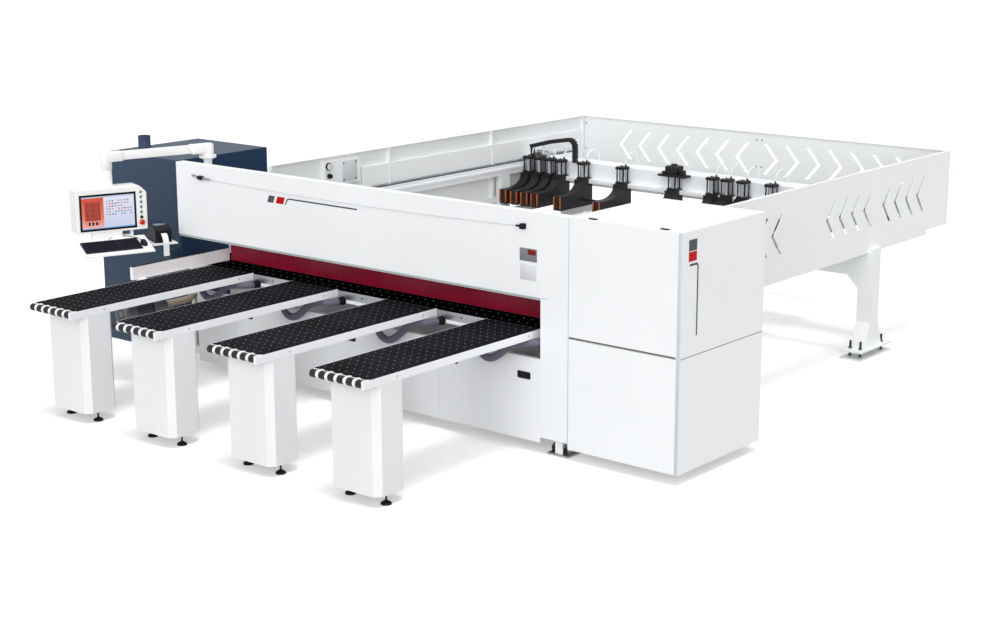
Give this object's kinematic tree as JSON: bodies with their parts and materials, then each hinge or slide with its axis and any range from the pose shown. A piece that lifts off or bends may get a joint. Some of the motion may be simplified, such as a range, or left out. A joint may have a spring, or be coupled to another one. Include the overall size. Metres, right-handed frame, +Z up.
{
  "type": "panel beam saw",
  "caption": "Rear-loading panel beam saw with air tables, a travelling saw under the table, pressure beam, gripper pusher, control console, saw cabinet and guards.",
  "frame": {"origin": "on the floor, at the middle of the machine's box", "axes": "+X right along the saw line as the operator sees it, +Y from the operator to the rear, +Z up"},
  "size_m": [6.98, 7.8323, 2.055],
  "materials": {
    "air_table_1_frame": "smooth white powder coat",
    "air_table_1_top": "matt black with rows of pale air nozzles",
    "air_table_1_rollers": "black rubber rollers on a steel axle",
    "air_table_1_leg": "smooth white powder coat, black rubber feet",
    "air_table_2_frame": "smooth white powder coat",
    "air_table_2_top": "matt black with rows of pale air nozzles",
    "air_table_2_rollers": "black rubber rollers on a steel axle",
    "air_table_2_leg": "smooth white powder coat, black rubber feet",
    "air_table_3_frame": "smooth white powder coat",
    "air_table_3_top": "matt black with rows of pale air nozzles",
    "air_table_3_rollers": "black rubber rollers on a steel axle",
    "air_table_3_leg": "smooth white powder coat, black rubber feet",
    "air_table_4_frame": "smooth white powder coat",
    "air_table_4_top": "matt black with rows of pale air nozzles",
    "air_table_4_rollers": "black rubber rollers on a steel axle",
    "air_table_4_leg": "smooth white powder coat, black rubber feet",
    "base_frame": "white powder coat, steel guide rails",
    "front_cover_left": "smooth white powder coat",
    "front_cover_middle": "smooth white powder coat",
    "front_cover_right": "smooth white powder coat",
    "main_table": "black ground plate with rows of air nozzles",
    "rip_fence": "pale anodised face with a black upper edge",
    "beam_cover": "smooth white powder coat with grey and red trim",
    "portal_beam": "smooth white powder coat",
    "pressure_beam": "grey painted steel with machined faces",
    "safety_curtain": "dark red rubber strips",
    "column_cover": "smooth white powder coat",
    "saw_carriage": "grey painted steel",
    "saw_unit": "grey painted casting and motor",
    "main_blade": "ground steel with carbide teeth",
    "scoring_blade": "ground steel with carbide teeth",
    "cabinet_body": "smooth white powder coat",
    "cabinet_upper_door": "smooth white powder coat",
    "cabinet_lower_door": "smooth white powder coat",
    "electrical_cabinet": "slate blue powder coat",
    "electrical_cabinet_door": "slate blue powder coat",
    "console_post": "smooth white powder coat",
    "console_arm": "smooth white powder coat",
    "monitor_housing": "smooth white powder coat",
    "monitor_screen": "black bezel round a lit display",
    "panel_button_1": "grey push button with a metal rim",
    "panel_button_2": "grey push button with a metal rim",
    "panel_button_3": "grey push button with a metal rim",
    "panel_button_4": "grey push button with a metal rim",
    "panel_button_5": "grey push button with a metal rim",
    "selector_knob": "black",
    "emergency_stop": "red mushroom head",
    "keyboard_tray": "smooth white powder coat",
    "keyboard": "black keys",
    "label_printer": "dark grey case with a paler lid",
    "rear_frame": "white powder coat, steel rollers and black bolts",
    "pusher_rail_left": "white powder coat, bright steel rail and rack",
    "pusher_rail_right": "white powder coat, bright steel rail and rack",
    "pusher_beam": "smooth white powder coat",
    "gripper_arms": "black paint, bright aluminium cylinders",
    "gripper_jaws": "black with orange-brown pads",
    "guard_left": "smooth white powder coat",
    "guard_rear": "smooth white powder coat",
    "guard_right": "smooth white powder coat",
    "regulator_knob": "black grip with a red band"
  },
  "bodies": {
    "machine": {"air_table_1_frame": "air_table_1_frame", "air_table_1_top": "air_table_1_top", "air_table_1_leg": "air_table_1_leg", "air_table_2_frame": "air_table_2_frame", "air_table_2_top": "air_table_2_top", "air_table_2_leg": "air_table_2_leg", "air_table_3_frame": "air_table_3_frame", "air_table_3_top": "air_table_3_top", "air_table_3_leg": "air_table_3_leg", "air_table_4_frame": "air_table_4_frame", "air_table_4_top": "air_table_4_top", "air_table_4_leg": "air_table_4_leg", "base_frame": "base_frame", "front_cover_left": "front_cover_left", "front_cover_middle": "front_cover_middle", "front_cover_right": "front_cover_right", "main_table": "main_table", "rip_fence": "rip_fence", "beam_cover": "beam_cover", "portal_beam": "portal_beam", "column_cover": "column_cover", "cabinet_body": "cabinet_body", "electrical_cabinet": "electrical_cabinet", "console_post": "console_post", "rear_frame": "rear_frame", "pusher_rail_left": "pusher_rail_left", "pusher_rail_right": "pusher_rail_right", "guard_left": "guard_left", "guard_rear": "guard_rear", "guard_right": "guard_right"},
    "roller_row_1": {"air_table_1_rollers": "air_table_1_rollers"},
    "roller_row_2": {"air_table_2_rollers": "air_table_2_rollers"},
    "roller_row_3": {"air_table_3_rollers": "air_table_3_rollers"},
    "roller_row_4": {"air_table_4_rollers": "air_table_4_rollers"},
    "pressure_unit": {"pressure_beam": "pressure_beam", "safety_curtain": "safety_curtain"},
    "carriage": {"saw_carriage": "saw_carriage"},
    "lift": {"saw_unit": "saw_unit"},
    "main_saw": {"main_blade": "main_blade"},
    "scoring_saw": {"scoring_blade": "scoring_blade"},
    "upper_door": {"cabinet_upper_door": "cabinet_upper_door"},
    "lower_door": {"cabinet_lower_door": "cabinet_lower_door"},
    "electrical_door": {"electrical_cabinet_door": "electrical_cabinet_door"},
    "arm": {"console_arm": "console_arm"},
    "monitor": {"monitor_housing": "monitor_housing", "monitor_screen": "monitor_screen", "keyboard_tray": "keyboard_tray", "keyboard": "keyboard", "label_printer": "label_printer"},
    "button_1": {"panel_button_1": "panel_button_1"},
    "button_2": {"panel_button_2": "panel_button_2"},
    "button_3": {"panel_button_3": "panel_button_3"},
    "button_4": {"panel_button_4": "panel_button_4"},
    "button_5": {"panel_button_5": "panel_button_5"},
    "selector": {"selector_knob": "selector_knob"},
    "stop_button": {"emergency_stop": "emergency_stop"},
    "pusher": {"pusher_beam": "pusher_beam", "gripper_arms": "gripper_arms"},
    "jaws": {"gripper_jaws": "gripper_jaws"},
    "regulator": {"regulator_knob": "regulator_knob"}
  },
  "joints": [
    {"name": "roller_row_1_spin", "type": "hinge", "parent": "machine", "child": "roller_row_1", "pos_m": [-1.457, -3.88515, 0.949], "axis": [1, 0, 0], "continuous": true},
    {"name": "roller_row_2_spin", "type": "hinge", "parent": "machine", "child": "roller_row_2", "pos_m": [-0.395, -3.88515, 0.949], "axis": [1, 0, 0], "continuous": true},
    {"name": "roller_row_3_spin", "type": "hinge", "parent": "machine", "child": "roller_row_3", "pos_m": [0.743, -3.88515, 0.949], "axis": [1, 0, 0], "continuous": true},
    {"name": "roller_row_4_spin", "type": "hinge", "parent": "machine", "child": "roller_row_4", "pos_m": [1.841, -3.88515, 0.949], "axis": [1, 0, 0], "continuous": true},
    {"name": "pressure_beam_lift", "type": "slide", "parent": "machine", "child": "pressure_unit", "axis": [0, 0, 1], "range_m": [0, 0.1]},
    {"name": "saw_travel", "type": "slide", "parent": "machine", "child": "carriage", "axis": [-1, 0, 0], "range_m": [0, 4.5]},
    {"name": "saw_lift", "type": "slide", "parent": "carriage", "child": "lift", "axis": [0, 0, 1], "range_m": [0, 0.135]},
    {"name": "main_blade_spin", "type": "hinge", "parent": "lift", "child": "main_saw", "pos_m": [2.88, -1.54385, 0.74], "axis": [0, 1, 0], "continuous": true},
    {"name": "scoring_blade_spin", "type": "hinge", "parent": "lift", "child": "scoring_saw", "pos_m": [2.57, -1.54385, 0.759], "axis": [0, 1, 0], "continuous": true},
    {"name": "upper_door_hinge", "type": "hinge", "parent": "machine", "child": "upper_door", "pos_m": [2.96, -1.98985, 1.92], "axis": [-1, 0, 0], "range_deg": [0, 95]},
    {"name": "lower_door_hinge", "type": "hinge", "parent": "machine", "child": "lower_door", "pos_m": [3.4577, -2.01385, 0.528], "axis": [0, 0, 1], "range_deg": [0, 100]},
    {"name": "electrical_door_hinge", "type": "hinge", "parent": "machine", "child": "electrical_door", "pos_m": [-3.458, -1.66815, 1.426], "axis": [0, 0, -1], "range_deg": [0, 100]},
    {"name": "console_arm_swing", "type": "hinge", "parent": "machine", "child": "arm", "pos_m": [-1.99896, -1.66898, 2.015], "axis": [0, 0, 1], "range_deg": [-30, 25]},
    {"name": "monitor_swivel", "type": "hinge", "parent": "arm", "child": "monitor", "pos_m": [-2.2735, -2.62015, 1.9048], "axis": [0, 0, 1], "range_deg": [-30, 30]},
    {"name": "button_1_press", "type": "slide", "parent": "monitor", "child": "button_1", "axis": [-0.9361, 0.3518, 0], "range_m": [0, 0.004], "stiffness_N_per_m": 400, "springref_m": -0.004},
    {"name": "button_2_press", "type": "slide", "parent": "monitor", "child": "button_2", "axis": [-0.9361, 0.3518, 0], "range_m": [0, 0.004], "stiffness_N_per_m": 400, "springref_m": -0.004},
    {"name": "button_3_press", "type": "slide", "parent": "monitor", "child": "button_3", "axis": [-0.9361, 0.3518, 0], "range_m": [0, 0.004], "stiffness_N_per_m": 400, "springref_m": -0.004},
    {"name": "button_4_press", "type": "slide", "parent": "monitor", "child": "button_4", "axis": [-0.9361, 0.3518, 0], "range_m": [0, 0.004], "stiffness_N_per_m": 400, "springref_m": -0.004},
    {"name": "button_5_press", "type": "slide", "parent": "monitor", "child": "button_5", "axis": [-0.9361, 0.3518, 0], "range_m": [0, 0.004], "stiffness_N_per_m": 400, "springref_m": -0.004},
    {"name": "selector_turn", "type": "hinge", "parent": "monitor", "child": "selector", "pos_m": [-2.0849, -2.4026, 1.459], "axis": [-0.9361, 0.3518, 0], "range_deg": [-45, 45]},
    {"name": "emergency_stop_press", "type": "slide", "parent": "monitor", "child": "stop_button", "axis": [-0.9361, 0.3518, 0], "range_m": [0, 0.006], "stiffness_N_per_m": 800, "springref_m": -0.005},
    {"name": "pusher_travel", "type": "slide", "parent": "machine", "child": "pusher", "axis": [0, -1, 0], "range_m": [-0.5, 3.5]},
    {"name": "gripper_open", "type": "slide", "parent": "pusher", "child": "jaws", "axis": [0, 0, 1], "range_m": [0, 0.04]},
    {"name": "regulator_turn", "type": "hinge", "parent": "machine", "child": "regulator", "pos_m": [-1.7897, -0.30885, 1.6], "axis": [1, 0, 0], "range_deg": [-150, 150]}
  ]
}
